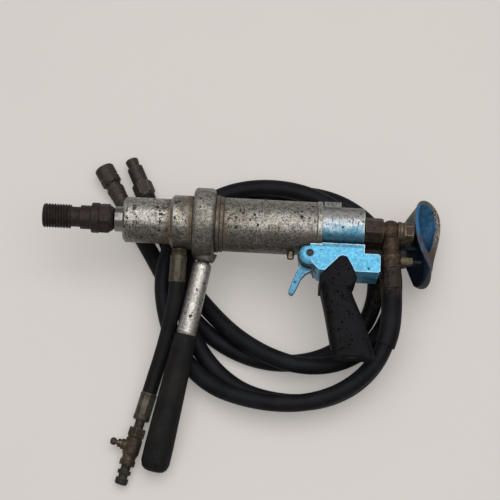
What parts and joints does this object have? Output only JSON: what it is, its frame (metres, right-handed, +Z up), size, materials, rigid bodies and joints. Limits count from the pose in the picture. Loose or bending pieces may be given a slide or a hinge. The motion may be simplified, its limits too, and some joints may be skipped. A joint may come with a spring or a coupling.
{
  "type": "hydraulic core drill",
  "caption": "Hand held hydraulic core drill with a threaded bit adapter, canted side handle, trigger grip, breast plate, water valve and coiled hoses ending in quick couplers.",
  "frame": {"origin": "centre of the tool's bounding box without the hoses and what hangs on them, on the floor it lies on", "axes": "+X along the tool axis from the bit adapter to the breast plate, -Y towards the pistol grip and side handle, +Z up from the floor"},
  "size_m": [0.5215, 0.4517, 0.134],
  "materials": {
    "adapter_steel": "rust stained machined steel",
    "spindle_steel": "bright turned steel",
    "seal_rubber": "moulded seal rubber",
    "inner_steel": "ground steel",
    "front_cast": "pitted cast aluminium",
    "collar_cast": "worn cast aluminium",
    "ring_cast": "worn cast aluminium",
    "lock_ring": "turned and stained",
    "motor_cast": "pitted cast aluminium",
    "band_metal": "turned",
    "handle_metal": "pitted aluminium tube",
    "handle_rubber": "worn moulded rubber",
    "bolt_zinc": "zinc plated and stained",
    "screw_brass": "dull brass",
    "valve_paint": "blue paint worn to bare metal",
    "grip_rubber": "pitted moulded rubber",
    "trigger_paint": "blue paint with bright worn edges",
    "spring_steel": "black spring steel",
    "fitting_steel": "rusty hexagon fitting",
    "elbow_steel": "rusty zinc plated fitting",
    "washer_zinc": "zinc plated washer",
    "elbow_bolt": "rusty bolt with pale edges",
    "plug_zinc": "tan zinc plate",
    "ferrule_rust": "crimped and rusty",
    "hose_rubber": "scuffed black hose cover",
    "coupler_steel": "dark worn steel",
    "water_brass": "dull aged brass",
    "ferrule_nickel": "dull nickel plate",
    "water_hose_rubber": "black water hose",
    "bracket_steel": "dark worn bracket",
    "plate_paint": "blue paint with rust and a worn rim"
  },
  "bodies": {
    "tool": {"shaft_seal": "seal_rubber", "water_seals": "seal_rubber", "front_bearing": "inner_steel", "rear_bearing": "inner_steel", "port_plate": "inner_steel", "front_housing": "front_cast", "water_collar": "collar_cast", "lock_rings": "lock_ring", "motor_housing": "motor_cast", "rear_band": "band_metal", "grip_screw": "bolt_zinc", "trigger_pin": "bolt_zinc", "plate_pivot": "bolt_zinc", "bracket_screws": "bolt_zinc", "spool_plug": "bolt_zinc", "bleed_screw": "screw_brass", "valve_housing": "valve_paint", "pistol_grip": "grip_rubber", "trigger_spring": "spring_steel", "spool_spring": "spring_steel", "port_adapters": "fitting_steel", "elbow_pressure": "elbow_steel", "elbow_return": "elbow_steel", "elbow_washers": "washer_zinc", "elbow_bolts": "elbow_bolt", "test_plug": "plug_zinc", "ferrule_pressure": "ferrule_rust", "ferrule_return": "ferrule_rust", "hose_pressure": "hose_rubber", "hose_return": "hose_rubber", "coupler_ferrule": "coupler_steel", "coupler_body": "coupler_steel", "nipple_ferrule": "coupler_steel", "nipple_body": "coupler_steel", "water_fitting": "water_brass", "water_valve_body": "water_brass", "water_valve_ring": "water_brass", "water_nipple": "water_brass", "water_ferrule_top": "ferrule_nickel", "water_ferrule_low": "ferrule_nickel", "water_hose": "water_hose_rubber", "plate_bracket": "bracket_steel"},
    "spindle": {"output_spindle": "spindle_steel", "thread_adapter": "adapter_steel", "gerotor_inner": "inner_steel"},
    "outer_rotor": {"gerotor_outer": "inner_steel"},
    "trigger": {"trigger": "trigger_paint"},
    "spool": {"valve_spool": "inner_steel"},
    "ring_handle": {"handle_clamp_ring": "ring_cast", "handle_stud": "bolt_zinc", "handle_tube": "handle_metal", "handle_rubber": "handle_rubber"},
    "plate": {"breast_plate": "plate_paint"},
    "sleeve": {"coupler_sleeve": "coupler_steel"},
    "valve_stem": {"water_valve_stem": "water_brass"}
  },
  "joints": [
    {"name": "spindle_spin", "type": "hinge", "parent": "tool", "child": "spindle", "pos_m": [-0.16073, 0.13439, 0.088], "axis": [1, 0, 0], "continuous": true},
    {"name": "outer_rotor_spin", "type": "hinge", "parent": "tool", "child": "outer_rotor", "pos_m": [0.01387, 0.13239, 0.088], "axis": [1, 0, 0], "continuous": true},
    {"name": "trigger_pull", "type": "hinge", "parent": "tool", "child": "trigger", "pos_m": [0.08627, 0.09339, 0.088], "axis": [0, 0, 1], "range_deg": [0, 14], "stiffness_Nm_per_rad": 1.5},
    {"name": "spool_slide", "type": "slide", "parent": "tool", "child": "spool", "axis": [1, 0, 0], "range_m": [0, 0.0034]},
    {"name": "handle_turn", "type": "hinge", "parent": "tool", "child": "ring_handle", "pos_m": [-0.05123, 0.13439, 0.088], "axis": [-1, 0, 0], "range_deg": [0, 90]},
    {"name": "plate_tilt", "type": "hinge", "parent": "tool", "child": "plate", "pos_m": [0.20777, 0.10719, 0.076], "axis": [0, 1, 0], "range_deg": [0, 15]},
    {"name": "sleeve_slide", "type": "slide", "parent": "tool", "child": "sleeve", "axis": [0.5214, -0.8531, -0.019], "range_m": [0, 0.006], "stiffness_N_per_m": 800},
    {"name": "valve_turn", "type": "hinge", "parent": "tool", "child": "valve_stem", "pos_m": [-0.12755, -0.14823, 0.01443], "axis": [-0.9713, 0.2381, 0], "range_deg": [0, 90]}
  ],
  "couplings": [
    {"joint": "outer_rotor_spin", "follows": "spindle_spin", "ratio": 0.85714},
    {"joint": "spool_slide", "follows": "trigger_pull", "m_per_rad": 0.0135}
  ]
}
